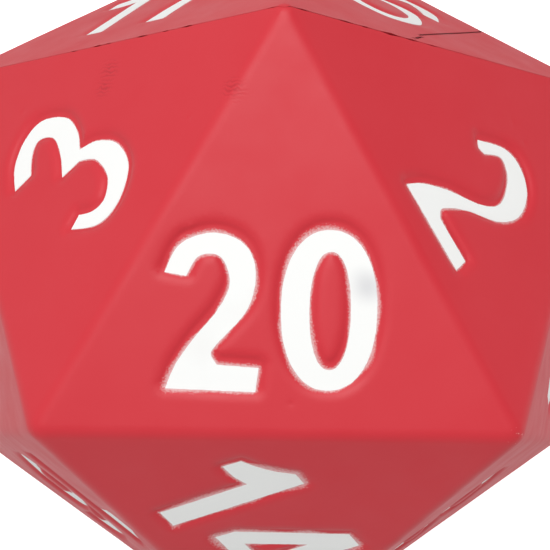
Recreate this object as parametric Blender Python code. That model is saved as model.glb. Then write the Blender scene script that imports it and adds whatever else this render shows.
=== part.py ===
"""A large soft foam die with twenty faces, numbered 1 to 20.

The die is one moulding of integral-skin polyurethane foam: a light cellular core inside a dense
red skin. The two mould halves met on the flat ring of five edges around one corner, so the skin is
modelled as the cap that one half formed (5 faces) and the base that the other formed (15 faces).
Each digit is a shallow recess in the skin with a film of white paint lying in it.

The die rests on its "1" face with the "20" face up. The origin is the middle of the resting face.
Units are metres and +Z is up.
"""

import math

import bmesh
import bpy
from mathutils import Matrix, Vector
from mathutils.geometry import tessellate_polygon

# Driving dimensions, in metres
ACROSS_FACES = 0.127  # between two opposite faces
EDGE_ROUND = 0.0012  # width of the rounding on every edge off the parting line
SKIN_THICKNESS = 0.0032
RECESS_DEPTH = 0.0012  # of a digit below its face
PAINT_THICKNESS = 0.0004
GAP = 0.0003  # between pieces that touch on the real die

# The icosahedron, for an edge of 1. Its corners lie in four level rings of three.
GOLDEN = (1 + math.sqrt(5)) / 2
INRADIUS = GOLDEN**2 / (2 * math.sqrt(3))
NARROW_RING = 1 / math.sqrt(3)
WIDE_RING = GOLDEN / math.sqrt(3)
WIDE_RING_HEIGHT = 1 / (2 * math.sqrt(3) * GOLDEN)
EDGE = ACROSS_FACES / 2 / INRADIUS

# Corner: ring radius, angle in degrees from +X, and height above the die's centre
CORNERS = {
    "A": (NARROW_RING, 90, INRADIUS),
    "B": (NARROW_RING, 210, INRADIUS),
    "C": (NARROW_RING, 330, INRADIUS),
    "D": (WIDE_RING, 150, WIDE_RING_HEIGHT),
    "F": (WIDE_RING, 30, WIDE_RING_HEIGHT),
    "G": (WIDE_RING, 270, WIDE_RING_HEIGHT),
    "E": (WIDE_RING, 90, -WIDE_RING_HEIGHT),
    "J": (WIDE_RING, 210, -WIDE_RING_HEIGHT),
    "K": (WIDE_RING, 330, -WIDE_RING_HEIGHT),
    "L": (NARROW_RING, 150, -INRADIUS),
    "M": (NARROW_RING, 30, -INRADIUS),
    "N": (NARROW_RING, 270, -INRADIUS),
}

# Number: the face's three corners, of which the first is the one that the digits' tops point to.
# Opposite faces add up to 21.
FACES = {
    20: "ABC",
    1: "NLM",
    3: "DAB",
    18: "KMN",
    2: "FAC",
    19: "JLN",
    14: "CBG",
    7: "LEM",
    17: "EAD",
    4: "GKN",
    9: "AEF",
    12: "NGJ",
    16: "GBJ",
    5: "EFM",
    8: "GCK",
    13: "EDL",
    10: "CFK",
    11: "LDJ",
    6: "BDJ",
    15: "MFK",
}
CAP_CORNER = "E"  # the cap is the five faces that meet here
CAP_RING = "ADLMF"

# Digit outlines, in thousandths of the die's edge, about the middle of the digit's width and the
# middle of the face's height. SHARP marks a corner; the outline runs smoothly through the rest.
SHARP = True
CURVE_STEPS = 2
OVAL_POINTS = 14
OVAL_POWER = 2.2  # a little squarer than an ellipse

ZERO_HALF_WIDTH, ZERO_HALF_HEIGHT = 98, 163
FOUR_STEM_LEFT, FOUR_STEM_RIGHT = 30, 88
BASELINE, CAP_LINE = -200, 124
MIDDLE = (BASELINE + CAP_LINE) / 2


def oval(x, y, half_width, half_height):
    """Corner-free outline of a slightly squared ellipse."""
    points = []
    for i in range(OVAL_POINTS):
        angle = 2 * math.pi * i / OVAL_POINTS
        c, s = math.cos(angle), math.sin(angle)
        px = math.copysign(abs(c) ** (2 / OVAL_POWER), c)
        py = math.copysign(abs(s) ** (2 / OVAL_POWER), s)
        points.append((x + half_width * px, y + half_height * py))
    return points


def half_turned(loops, middle):
    """The same loops turned by 180 degrees about a point on the digit's centre line."""
    return [[(-p[0], 2 * middle - p[1], *p[2:]) for p in loop] for loop in loops]


def both_sides(right_side):
    """Closes an outline that is the same on the left as on the right, given from top to bottom."""
    left_side = [(-x, y) for x, y in reversed(right_side) if x]
    return right_side + left_side


# Each glyph is its outer outline and then its holes.
NARROW_DIGITS = {
    "0": [
        oval(0, -32, ZERO_HALF_WIDTH, ZERO_HALF_HEIGHT),
        oval(2, -33, 42, 120),
    ],
    "1": [
        [
            (55, BASELINE, SHARP),
            (55, CAP_LINE, SHARP),
            (18, CAP_LINE, SHARP),
            (-12, 91),
            (-42, 67),
            (-78, 46, SHARP),
            (-80, 3, SHARP),
            (-38, 6),
            (-1, 18, SHARP),
            (-1, BASELINE, SHARP),
        ]
    ],
    "2": [
        [
            (-97, 41, SHARP),
            (-66, 98),
            (0, 122),
            (62, 101),
            (87, 46),
            (72, -31),
            (11, -103),
            (-1, -124),
            (11, -145, SHARP),
            (96, -151, SHARP),
            (90, BASELINE, SHARP),
            (-93, -195, SHARP),
            (-73, -146),
            (-36, -92),
            (11, -34),
            (35, 22),
            (15, 74),
            (-28, 74),
            (-53, 34, SHARP),
        ]
    ],
    "3": [
        [
            (-92, 58, SHARP),
            (-54, 112),
            (0, 125),
            (56, 112),
            (85, 52),
            (72, 4),
            (50, -25, SHARP),
            (86, -56),
            (95, -104),
            (58, -184),
            (0, -201),
            (-60, -184),
            (-98, -114, SHARP),
            (-46, -104, SHARP),
            (-34, -140),
            (0, -154),
            (41, -104),
            (28, -64),
            (-24, -52, SHARP),
            (-24, -10, SHARP),
            (20, 2),
            (32, 38),
            (0, 79),
            (-30, 66),
            (-40, 42, SHARP),
        ]
    ],
    "4": [
        [
            (FOUR_STEM_RIGHT, CAP_LINE, SHARP),
            (FOUR_STEM_RIGHT, -98, SHARP),
            (112, -98, SHARP),
            (112, -142, SHARP),
            (FOUR_STEM_RIGHT, -142, SHARP),
            (FOUR_STEM_RIGHT, BASELINE, SHARP),
            (FOUR_STEM_LEFT, BASELINE, SHARP),
            (FOUR_STEM_LEFT, -142, SHARP),
            (-97, -142, SHARP),
            (-95, -93, SHARP),
            (38, CAP_LINE, SHARP),
        ],
        [(FOUR_STEM_LEFT, 26, SHARP), (FOUR_STEM_LEFT, -98, SHARP), (-44, -98, SHARP)],
    ],
    "5": [
        [
            (82, CAP_LINE, SHARP),
            (82, 74, SHARP),
            (-28, 74, SHARP),
            (-36, 20, SHARP),
            (4, 32),
            (60, 14),
            (92, -40),
            (86, -126),
            (48, -188),
            (0, -201),
            (-60, -184),
            (-96, -116, SHARP),
            (-44, -110, SHARP),
            (-30, -142),
            (0, -155),
            (33, -126),
            (36, -60),
            (2, -20),
            (-42, -48, SHARP),
            (-90, -42, SHARP),
            (-68, CAP_LINE, SHARP),
        ]
    ],
    "6": [
        [
            (90, 50, SHARP),
            (58, 110),
            (0, 125),
            (-66, 92),
            (-98, -30),
            (-84, -140),
            (-42, -192),
            (0, -201),
            (56, -184),
            (97, -96),
            (60, -8),
            (8, 10),
            (-42, -26, SHARP),
            (-30, 46),
            (4, 80),
            (38, 42, SHARP),
        ],
        oval(0, -96, 40, 58),
    ],
    "7": [
        [
            (-92, CAP_LINE, SHARP),
            (92, CAP_LINE, SHARP),
            (92, 80, SHARP),
            (34, -14),
            (10, -110),
            (2, BASELINE, SHARP),
            (-58, BASELINE, SHARP),
            (-46, -110),
            (-16, -20),
            (34, 72, SHARP),
            (-92, 72, SHARP),
        ]
    ],
    "8": [
        both_sides(
            [
                (0, 125),
                (58, 108),
                (86, 48),
                (72, 4),
                (50, -24),
                (84, -54),
                (97, -104),
                (56, -186),
                (0, -201),
            ]
        ),
        oval(0, 42, 33, 37),
        oval(0, -104, 41, 52),
    ],
}
NARROW_DIGITS["9"] = half_turned(NARROW_DIGITS["6"], MIDDLE)
LEFT_DIGIT, RIGHT_DIGIT = -136, 101

# A number of one digit is taller and has thinner strokes.
SINGLE_WIDENING = 1.12
SINGLE_HEIGHTENING = 1.105
SINGLE_MIDDLE = 11
SINGLE_THINNING = 5  # taken off each side of a stroke
SINGLE_DIGITS = {
    "2": [
        [
            (-66, 44, SHARP),
            (-50, 34, SHARP),
            (-32, 42, SHARP),
            (-4, 88),
            (44, 72),
            (79, 10),
            (58, -50),
            (-8, -124),
            (-50, -186),
            (-66, -231, SHARP),
            (140, -222, SHARP),
            (136, -185, SHARP),
            (32, -190, SHARP),
            (17, -166),
            (52, -99),
            (108, -28),
            (127, 44),
            (97, 107),
            (40, 132),
            (-16, 115),
        ]
    ],
    "3": [
        [
            (-122, 134, SHARP),
            (-78, 176),
            (-16, 193),
            (42, 176),
            (77, 110),
            (64, 54),
            (34, 18, SHARP),
            (70, -16),
            (88, -76),
            (60, -140),
            (-14, -168),
            (-76, -150),
            (-118, -88, SHARP),
            (-83, -86, SHARP),
            (-60, -116),
            (-24, -128),
            (19, -101),
            (35, -44),
            (13, 0, SHARP),
            (-37, 21, SHARP),
            (2, 64),
            (24, 112),
            (2, 151),
            (-34, 146),
            (-73, 115, SHARP),
        ]
    ],
    "9": [
        [
            (-101, -83, SHARP),
            (-62, -154),
            (0, -168),
            (70, -136),
            (106, -20),
            (98, 106),
            (60, 170),
            (0, 189),
            (-64, 170),
            (-109, 76),
            (-66, -20),
            (-8, -36),
            (60, 4, SHARP),
            (36, -98),
            (-4, -124),
            (-54, -76, SHARP),
        ],
        oval(0, 77, 62, 67),
    ],
}
SINGLE_DIGITS["6"] = half_turned(SINGLE_DIGITS["9"], SINGLE_MIDDLE)
MARKED_NUMBERS = (6, 9)  # a dot after the digit shows which way up these two are
DOT_PLACE, DOT_RADIUS = (152, -143), 24

SKIN_COLOUR = (0.680, 0.062, 0.075, 1)
CORE_COLOUR = (0.780, 0.210, 0.200, 1)
PAINT_COLOUR = (0.870, 0.870, 0.860, 1)


def clear_scene():
    """Removes whatever the file opened with."""
    for thing in list(bpy.data.objects):
        bpy.data.objects.remove(thing)


def material(name, colour, roughness):
    """A plain Principled material."""
    made = bpy.data.materials.new(name)
    made.use_nodes = True
    made.diffuse_color = colour
    shader = made.node_tree.nodes["Principled BSDF"]
    shader.inputs["Base Color"].default_value = colour
    shader.inputs["Roughness"].default_value = roughness
    shader.inputs["Metallic"].default_value = 0
    return made


def add_object(name, bm, parent, look=None, place=None):
    """Turns a bmesh into a named object under the die's centre."""
    mesh = bpy.data.meshes.new(name)
    bm.to_mesh(mesh)
    bm.free()
    thing = bpy.data.objects.new(name, mesh)
    bpy.context.scene.collection.objects.link(thing)
    thing.parent = parent
    if look:
        mesh.materials.append(look)
    if place:
        thing.location = place.to_translation()
        thing.rotation_euler = place.to_euler()
    return thing


def hide_cutter(cutter):
    """Marks an object as a tool for the Boolean modifiers, not a piece of the die."""
    cutter.hide_render = True
    cutter.display_type = "WIRE"


def cut(thing, cutter):
    """Takes one object's volume out of another."""
    modifier = thing.modifiers.new(cutter.name, "BOOLEAN")
    modifier.operation = "DIFFERENCE"
    modifier.object = cutter


def corner_point(letter, size):
    """A corner of the icosahedron with the given edge, about its centre."""
    radius, angle, height = CORNERS[letter]
    turned = math.radians(angle)
    return size * Vector((radius * math.cos(turned), radius * math.sin(turned), height))


def icosahedron(size):
    """A closed icosahedron with the given edge, and its vertices by corner letter."""
    bm = bmesh.new()
    verts = {letter: bm.verts.new(corner_point(letter, size)) for letter in CORNERS}
    for letters in FACES.values():
        bm.faces.new([verts[letter] for letter in letters])
    bmesh.ops.recalc_face_normals(bm, faces=bm.faces)
    return bm, verts


def inner_icosahedron(inset):
    """The icosahedron whose faces lie this far inside the die's own."""
    bm, _ = icosahedron(EDGE * (1 - inset / (ACROSS_FACES / 2)))
    return bm


def half_shell(side):
    """The rounded die on one side of the parting plane: +1 is the cap, -1 the base."""
    bm, verts = icosahedron(EDGE)
    ring = {verts[letter] for letter in CAP_RING}
    rounded = [edge for edge in bm.edges if not ring.issuperset(edge.verts)]
    bmesh.ops.bevel(bm, geom=rounded, offset=EDGE_ROUND, segments=2, profile=0.5, affect="EDGES")
    towards_cap = corner_point(CAP_CORNER, EDGE).normalized()
    plane_point = corner_point(CAP_RING[0], EDGE).dot(towards_cap) * towards_cap
    bmesh.ops.bisect_plane(
        bm,
        geom=bm.verts[:] + bm.edges[:] + bm.faces[:],
        plane_co=plane_point + side * towards_cap * GAP / 2,
        plane_no=side * towards_cap,
        clear_inner=True,
    )
    bmesh.ops.holes_fill(bm, edges=[edge for edge in bm.edges if edge.is_boundary])
    bmesh.ops.recalc_face_normals(bm, faces=bm.faces)
    return bm


def face_frame(letters):
    """Frame on a face: origin at its middle, Y to the digits' top, Z out of the die."""
    corners = [corner_point(letter, EDGE) for letter in letters]
    middle = sum(corners, Vector()) / len(corners)
    out = middle.normalized()
    up = (corners[0] - middle).normalized()
    right = up.cross(out)
    frame = Matrix((right, up, out)).transposed().to_4x4()
    frame.translation = middle
    return frame


def is_sharp(point):
    """Whether an outline point is a corner."""
    return len(point) > 2


def through_points(points):
    """Closed outline: straight from corner to corner, a Catmull-Rom curve where it is round."""
    outline = []
    for i, point in enumerate(points):
        following = points[(i + 1) % len(points)]
        start, end = Vector(point[:2]), Vector(following[:2])
        outline.append(start)
        if is_sharp(point) and is_sharp(following):
            continue
        before = start if is_sharp(point) else Vector(points[i - 1][:2])
        after = end if is_sharp(following) else Vector(points[(i + 2) % len(points)][:2])
        for step in range(1, CURVE_STEPS):
            t = step / CURVE_STEPS
            bend = (2 * before - 5 * start + 4 * end - after) * t**2
            swing = (3 * start - before - 3 * end + after) * t**3
            outline.append((2 * start + (end - before) * t + bend + swing) / 2)
    return outline


def signed_area(outline):
    """Positive where the outline runs anticlockwise."""
    pairs = zip(outline, outline[1:] + outline[:1])
    return sum(a.x * b.y - b.x * a.y for a, b in pairs) / 2


def moved_inwards(loops, distance):
    """Shrinks an outer outline, and grows its holes, by the same distance along the normals."""
    moved = []
    for number, outline in enumerate(loops):
        is_hole = number > 0
        if (signed_area(outline) > 0) == is_hole:
            outline = outline[::-1]
        shifted = []
        for i, point in enumerate(outline):
            into = (point - outline[i - 1]).normalized()
            away = (outline[(i + 1) % len(outline)] - point).normalized()
            normal = Vector((-into.y - away.y, into.x + away.x)).normalized()
            mitre = max(normal.dot(Vector((-into.y, into.x))), 0.5)
            shifted.append(point + normal * distance / mitre)
        moved.append(shifted)
    return moved


def digit_loops(digit, single):
    """A digit's outer outline and holes, in thousandths of the edge."""
    if not single:
        return [through_points(loop) for loop in NARROW_DIGITS[digit]]
    if digit in SINGLE_DIGITS:
        return [through_points(loop) for loop in SINGLE_DIGITS[digit]]
    stretched = []
    for loop in NARROW_DIGITS[digit]:
        outline = through_points(loop)
        stretched.append(
            [
                Vector(
                    (
                        p.x * SINGLE_WIDENING,
                        (p.y - MIDDLE) * SINGLE_HEIGHTENING + SINGLE_MIDDLE,
                    )
                )
                for p in outline
            ]
        )
    return moved_inwards(stretched, SINGLE_THINNING)


def number_marks(number):
    """The separate painted marks of a face: (node name, loops in metres on the face)."""
    text = str(number)
    label = f"numeral_{number:02d}"
    single = len(text) == 1
    if single:
        marks = [(label, digit_loops(text, single), 0)]
    else:
        marks = [
            (f"{label}_left", digit_loops(text[0], single), LEFT_DIGIT),
            (f"{label}_right", digit_loops(text[1], single), RIGHT_DIGIT),
        ]
    if number in MARKED_NUMBERS:
        x, y = DOT_PLACE
        dot = [Vector(point) for point in oval(0, y, DOT_RADIUS, DOT_RADIUS)]
        marks.append((f"{label}_dot", [dot], x))
    unit = EDGE / 1000
    return [
        (name, [[(p + Vector((x, 0))) * unit for p in loop] for loop in loops])
        for name, loops, x in marks
    ]


def add_prism(bm, loops, low, high, place):
    """Adds one closed prism between two heights over an outline with holes."""
    flat = [point for loop in loops for point in loop]
    bottom = [bm.verts.new(place @ Vector((p.x, p.y, low))) for p in flat]
    top = [bm.verts.new(place @ Vector((p.x, p.y, high))) for p in flat]
    made = []
    for i, j, k in tessellate_polygon([[p.to_3d() for p in loop] for loop in loops]):
        made.append(bm.faces.new((top[i], top[j], top[k])))
        made.append(bm.faces.new((bottom[k], bottom[j], bottom[i])))
    first = 0
    for loop in loops:
        for i in range(len(loop)):
            a, b = first + i, first + (i + 1) % len(loop)
            made.append(bm.faces.new((bottom[a], bottom[b], top[b], top[a])))
        first += len(loop)
    bmesh.ops.recalc_face_normals(bm, faces=made)


def add_paint(number, centre, look):
    """The paint films of one face, each lying just above the floor of its recess."""
    frame = face_frame(FACES[number])
    low = GAP - RECESS_DEPTH
    for name, loops in number_marks(number):
        bm = bmesh.new()
        add_prism(bm, moved_inwards(loops, GAP), low, low + PAINT_THICKNESS, Matrix())
        add_object(name, bm, centre, look, frame)


def recess_cutter(name, numbers, centre):
    """One tool that cuts the recesses of all the given faces."""
    bm = bmesh.new()
    for number in numbers:
        frame = face_frame(FACES[number])
        for _, loops in number_marks(number):
            add_prism(bm, loops, -RECESS_DEPTH, RECESS_DEPTH, frame)
    cutter = add_object(name, bm, centre)
    hide_cutter(cutter)
    return cutter


def build_die():
    """Makes every piece of the die, and the tools that cut them."""
    clear_scene()
    skin_red = material("foam_skin", SKIN_COLOUR, 0.42)
    core_red = material("foam_core", CORE_COLOUR, 0.95)
    white_paint = material("numeral_paint", PAINT_COLOUR, 0.55)

    centre = bpy.data.objects.new("die_centre", None)
    bpy.context.scene.collection.objects.link(centre)
    centre.location = (0, 0, ACROSS_FACES / 2)

    add_object("foam_core", inner_icosahedron(SKIN_THICKNESS + GAP), centre, core_red)
    hollow = add_object("hollow_cutter", inner_icosahedron(SKIN_THICKNESS), centre)
    hide_cutter(hollow)

    cap_numbers = [number for number, letters in FACES.items() if CAP_CORNER in letters]
    base_numbers = [number for number in FACES if number not in cap_numbers]
    for name, side, numbers in (("skin_cap", 1, cap_numbers), ("skin_base", -1, base_numbers)):
        skin = add_object(name, half_shell(side), centre, skin_red)
        cut(skin, hollow)
        cut(skin, recess_cutter(f"{name}_recesses", numbers, centre))

    for number in FACES:
        add_paint(number, centre, white_paint)


build_die()
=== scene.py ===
"""The looks of a large soft foam die with twenty faces.

Units are metres and +Z is up. The die rests on its "1" face, with the "20" face up.
"""

import math
import random

import bmesh
import bpy
import numpy as np
from mathutils import Matrix, Vector, noise
from mathutils.geometry import delaunay_2d_cdt


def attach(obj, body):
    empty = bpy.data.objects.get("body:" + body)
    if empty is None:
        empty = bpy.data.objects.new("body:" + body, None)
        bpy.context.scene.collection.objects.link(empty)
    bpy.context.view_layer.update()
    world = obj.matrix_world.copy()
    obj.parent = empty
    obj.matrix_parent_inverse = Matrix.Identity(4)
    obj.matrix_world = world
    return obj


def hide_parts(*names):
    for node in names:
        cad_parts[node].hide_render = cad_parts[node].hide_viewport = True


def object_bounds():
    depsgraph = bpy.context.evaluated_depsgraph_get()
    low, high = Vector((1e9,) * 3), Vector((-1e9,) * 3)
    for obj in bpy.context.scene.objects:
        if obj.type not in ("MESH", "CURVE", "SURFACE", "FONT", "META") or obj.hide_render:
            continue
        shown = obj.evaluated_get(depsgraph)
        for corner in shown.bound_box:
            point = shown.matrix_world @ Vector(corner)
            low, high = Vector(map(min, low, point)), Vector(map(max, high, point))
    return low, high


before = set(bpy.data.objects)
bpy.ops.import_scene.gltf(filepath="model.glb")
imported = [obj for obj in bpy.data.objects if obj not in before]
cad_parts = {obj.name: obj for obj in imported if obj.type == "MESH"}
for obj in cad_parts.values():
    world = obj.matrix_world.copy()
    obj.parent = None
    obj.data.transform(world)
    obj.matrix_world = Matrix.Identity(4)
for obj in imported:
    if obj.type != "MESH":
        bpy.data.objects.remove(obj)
cad_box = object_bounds()
MM = 0.001


# The moulded body.
# The die is one moulding of polyurethane foam. Its shape is a regular icosahedron, and the mould's
# two halves met on the flat ring of five edges around the corner E.

ACROSS_FACES = cad_box[1][2] - cad_box[0][2]
GOLDEN = (1 + math.sqrt(5)) / 2
INRADIUS = GOLDEN**2 / (2 * math.sqrt(3))  # of an icosahedron with an edge of 1
NARROW_RING = 1 / math.sqrt(3)
WIDE_RING = GOLDEN / math.sqrt(3)
WIDE_RING_HEIGHT = 1 / (2 * math.sqrt(3) * GOLDEN)
EDGE = ACROSS_FACES / 2 / INRADIUS
CENTRE = Vector((0, 0, ACROSS_FACES / 2))
WORN_TO = EDGE * math.sin(math.radians(72)) - 0.9 * MM  # from the centre to a worn corner
WORN_SHARE = 0.7  # of what stands out past that

# Corner: ring radius, angle in degrees from +X, and height above the die's centre
CORNERS = {
    "A": (NARROW_RING, 90, INRADIUS),
    "B": (NARROW_RING, 210, INRADIUS),
    "C": (NARROW_RING, 330, INRADIUS),
    "D": (WIDE_RING, 150, WIDE_RING_HEIGHT),
    "F": (WIDE_RING, 30, WIDE_RING_HEIGHT),
    "G": (WIDE_RING, 270, WIDE_RING_HEIGHT),
    "E": (WIDE_RING, 90, -WIDE_RING_HEIGHT),
    "J": (WIDE_RING, 210, -WIDE_RING_HEIGHT),
    "K": (WIDE_RING, 330, -WIDE_RING_HEIGHT),
    "L": (NARROW_RING, 150, -INRADIUS),
    "M": (NARROW_RING, 30, -INRADIUS),
    "N": (NARROW_RING, 270, -INRADIUS),
}

# Number: the face's corners, of which the first is the one that the digits' tops point to
FACES = {
    20: "ABC",
    1: "NLM",
    3: "DAB",
    18: "KMN",
    2: "FAC",
    19: "JLN",
    14: "CBG",
    7: "LEM",
    17: "EAD",
    4: "GKN",
    9: "AEF",
    12: "NGJ",
    16: "GBJ",
    5: "EFM",
    8: "GCK",
    13: "EDL",
    10: "CFK",
    11: "LDJ",
    6: "BDJ",
    15: "MFK",
}
CAP_CORNER = "E"
PARTING_RING = "ADLMF"

EDGE_RADIUS = 3.8 * MM
PARTING_RADIUS = 0.5 * MM  # the mould closed sharply on its parting line
PARTING_REACH = 2 * MM  # how far from the parting line the edges are still sharper
HALF_TURN_OF_EDGE = math.acos(math.sqrt(5) / 3) / 2  # half the angle between two faces' normals
PARTING_GAP = 0.04 * MM
CHIP_REACH = 0.8 * MM  # how far a chip in the parting line goes into the face
SKIN_INSIDE = 3.2 * MM  # thickness of the dense skin
SINK_DEPTH, SINK_SIZE = 0.22 * MM, 30 * MM  # the broad hollows that foam leaves where it shrinks
SINK_MIDDLE = 0.4  # how far the hollows' middle level lies below a face, of their depth
RIPPLE_DEPTH, RIPPLE_SIZE = 0.018 * MM, 5 * MM
CAP_LEAN = 0.4  # the faces around the cap's corner all lean towards it by more than this cosine

# How closely the skin's vertices lie: along the edges, on plain faces and around the marks
EDGE_STEPS = 56
PARTING_STEPS = 168
PARTING_INSETS = [0.08 * MM, 0.16 * MM, 0.45 * MM]  # more rows beside a parting edge
PLAIN_STEP = 1.7 * MM
MIDDLE_STEP = 0.85 * MM
FINE_STEP = 0.58 * MM
FINE_REACH = 3.1 * MM  # how far around a mark the fine lattice goes
MIDDLE_BAND = MM  # how much further the middle one goes
# Inside a mark, how far from its outline the fine lattice ends and the plain one starts
FINE_INWARDS, PLAIN_INWARDS = 1.2 * MM, 1.6 * MM
LATTICE_MARGIN = 1.2 * MM
WALL_CLEARANCE = 0.3 * MM
SAME_POINT = 0.12 * MM  # points this near each other become one
RING_STEP = 0.42 * MM  # between the vertices that follow a pocket's wall


FACE_INRADIUS = EDGE / (2 * math.sqrt(3))
SIDE_NORMALS = [np.array((math.cos(a), math.sin(a))) for a in np.radians((270, 30, 150))]
CORNER_WAYS = [np.array((math.cos(a), math.sin(a))) for a in np.radians((90, 210, 330))]


def corner_point(letter):
    """A corner of the die, about its centre."""
    radius, angle, height = CORNERS[letter]
    turned = math.radians(angle)
    return EDGE * Vector((radius * math.cos(turned), radius * math.sin(turned), height))


def face_frame(letters):
    """Frame on a face: origin at its middle, Y to the digits' top, Z out of the die."""
    corners = [corner_point(letter) for letter in letters]
    middle = sum(corners, Vector()) / 3
    out = middle.normalized()
    up = (corners[0] - middle).normalized()
    placed = Matrix((up.cross(out), up, out)).transposed().to_4x4()
    placed.translation = middle
    return placed


def in_frame(placed, flat, height=0.0):
    """Points of a face's plane, as an array of positions about the die's centre."""
    turn = np.array(placed.to_3x3())
    points = np.column_stack((flat, np.broadcast_to(height, len(flat))))
    return points @ turn.T + np.array(placed.translation)


RING_POINTS = [np.array(corner_point(letter)) for letter in PARTING_RING]
CAP_WAY = np.array(corner_point(CAP_CORNER).normalized())
PARTING_HEIGHT = float(RING_POINTS[0] @ CAP_WAY)


def ring_distance(points):
    """Distance of each point from the ring of parting edges."""
    best = np.full(len(points), np.inf)
    for start, end in zip(RING_POINTS, RING_POINTS[1:] + RING_POINTS[:1]):
        along = end - start
        t = np.clip((points - start) @ along / (along @ along), 0, 1)
        best = np.minimum(best, np.linalg.norm(points - start - t[:, None] * along, axis=1))
    return best


def smooth_step(value, low, high):
    """0 below low, 1 above high, and a smooth rise between."""
    t = np.clip((value - low) / (high - low), 0, 1)
    return t * t * (3 - 2 * t)


def nearest_in_triangle(flat, size):
    """The nearest point of a face-shaped triangle with the given inradius, for each point."""
    inside = np.array(flat)
    for _ in range(3):
        for normal in SIDE_NORMALS:
            over = inside @ normal - size
            inside -= np.maximum(over, 0)[:, None] * normal
    # Past a corner the steps above can slide along a side, so the corners are tried as well
    for along in CORNER_WAYS:
        corner = 2 * size[:, None] * along
        beyond = np.linalg.norm(flat - corner, axis=1) < np.linalg.norm(flat - inside, axis=1)
        beyond &= (flat - corner) @ along > 0
        inside[beyond] = corner[beyond]
    return inside


# Small dents from handling: the face, the place on it in thousandths of the edge, radius and depth
DENTS = [
    (20, (-196, 121), 0.9 * MM, 0.16 * MM),
    (20, (-180, 135), 0.5 * MM, -0.10 * MM),
    (14, (150, -214), 0.5 * MM, 0.12 * MM),
    (3, (40, 250), 0.7 * MM, 0.08 * MM),
    (2, (-60, 190), 0.8 * MM, 0.07 * MM),
]
# Chips in the parting line: its edge, the share of the way along it, half length and width
PARTING_CHIPS = [
    ("AD", 0.03, 0.6 * MM, 0.1 * MM),
    ("AD", 0.246, 0.9 * MM, 0.22 * MM),
    ("AD", 0.305, 0.6 * MM, 0.12 * MM),
    ("AD", 0.37, 0.9 * MM, 0.22 * MM),
    ("AD", 0.468, 0.6 * MM, 0.16 * MM),
    ("AD", 0.498, 0.8 * MM, 0.22 * MM),
    ("AD", 0.57, 0.6 * MM, 0.14 * MM),
    ("AF", 0.047, 0.9 * MM, 0.16 * MM),
    ("AF", 0.159, 1.3 * MM, 0.18 * MM),
    ("AF", 0.214, 0.8 * MM, 0.18 * MM),
    ("AF", 0.286, 1.6 * MM, 0.34 * MM),
    ("AF", 0.347, 1.1 * MM, 0.26 * MM),
    ("AF", 0.41, 0.9 * MM, 0.20 * MM),
]
CHIPS_PER_EDGE, DENTS_PER_FACE = 5, 3  # the scattered ones
dice = random.Random(20)
for start, end in zip(PARTING_RING[1:4], PARTING_RING[2:5]):
    for _ in range(CHIPS_PER_EDGE):
        size, deep = dice.uniform(0.6, 1.4) * MM, dice.uniform(0.08, 0.26) * MM
        PARTING_CHIPS.append((start + end, dice.uniform(0.05, 0.95), size, deep))
CHIPS = []
for (start, end), share, size, deep in PARTING_CHIPS:
    place = corner_point(start).lerp(corner_point(end), share)
    CHIPS.append((np.array(place), size, deep))

# A dent's spot lies above or below the marks, and those past a face's slanted sides are left out
for marked in FACES:
    for _ in range(DENTS_PER_FACE):
        spot = (dice.uniform(-240, 240), dice.uniform(-230, -210) + dice.choice((0, 420)))
        if abs(spot[0]) < 260 - 0.55 * (spot[1] + 250):
            DENTS.append((marked, spot, dice.uniform(0.4, 0.8) * MM, dice.uniform(0.03, 0.09) * MM))


def dented(number, flat):
    """How far the dents of a face sink each point."""
    depth = np.zeros(len(flat))
    for where, spot, radius, deep in DENTS:
        if where == number:
            reach = np.linalg.norm(flat - np.array(spot) * EDGE / 1000, axis=1) / radius
            depth += deep * np.exp(-(reach**2))
    return depth


def dent_points(number):
    """Closely spaced points over the dents of a face."""
    points = [np.zeros((0, 2))]
    for where, spot, radius, _ in DENTS:
        if where == number:
            for ring in (0.35, 0.8, 1.3, 1.9):
                turns = np.arange(0, 2 * math.pi, 2 * math.pi / (6 + 4 * ring)) + ring
                circle = np.column_stack((np.cos(turns), np.sin(turns))) * ring * radius
                points.append(circle + np.array(spot) * EDGE / 1000)
    return np.vstack(points)


def noise_at(points, size, seed):
    """Smooth noise between about -1 and 1 with features of the given size."""
    shift = Vector((seed * 3.7, seed * 1.3, seed * 2.1))
    return np.array([noise.noise(Vector(p) / size + shift) for p in points])


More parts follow.
